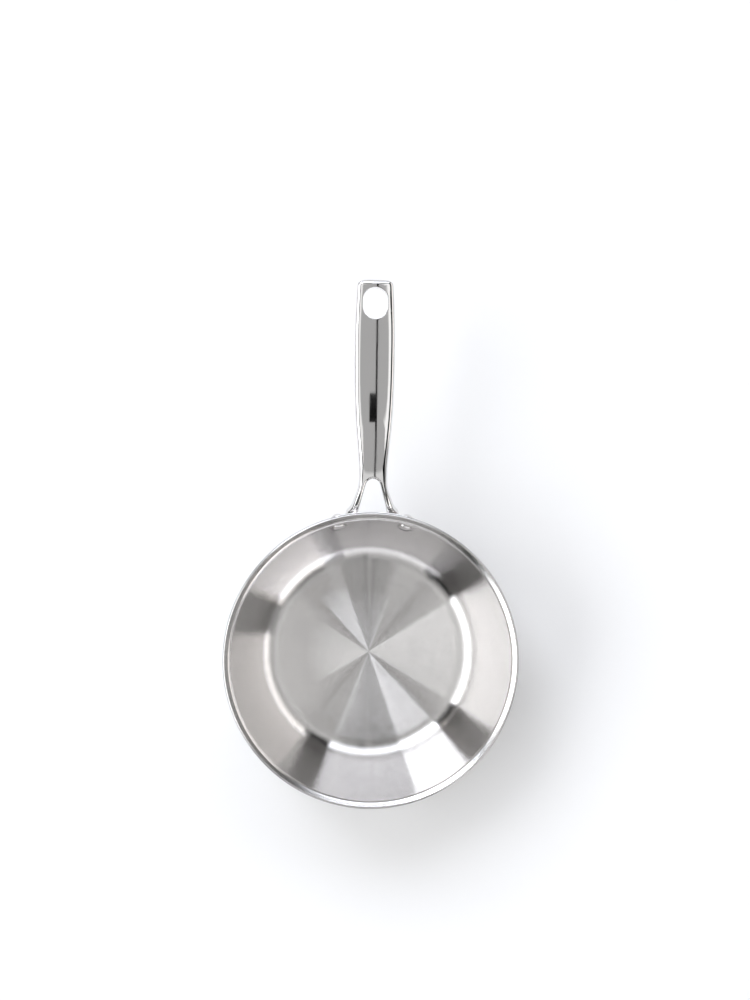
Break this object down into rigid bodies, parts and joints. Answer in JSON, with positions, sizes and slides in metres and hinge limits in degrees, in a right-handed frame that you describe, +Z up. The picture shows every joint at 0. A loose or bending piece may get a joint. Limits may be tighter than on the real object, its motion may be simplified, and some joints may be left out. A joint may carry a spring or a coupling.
{
  "type": "saucepan",
  "caption": "Round tapered saucepan of clad steel with a rolled-out pouring lip and a long cast handle, forked at the pan and riveted below the lip.",
  "frame": {"origin": "centre of the base's flat underside, where the pan stands", "axes": "+Z up along the pan's axis, +Y from the pan's axis along the handle, +X to the right when the handle points away from the viewer"},
  "size_m": [0.2104, 0.3732, 0.0889],
  "materials": {
    "liner_steel": "fine circular brushing, polished on the lip",
    "core_aluminium": "bare sheet, seen only as a line at the lip's edge",
    "skin_steel": "polished",
    "handle_steel": "mirror polished cast stainless steel",
    "rivet_steel": "polished"
  },
  "bodies": {
    "root": {"inner_liner": "liner_steel", "aluminium_core": "core_aluminium", "outer_skin": "skin_steel", "handle": "handle_steel", "left_rivet": "rivet_steel", "right_rivet": "rivet_steel"}
  },
  "joints": []
}
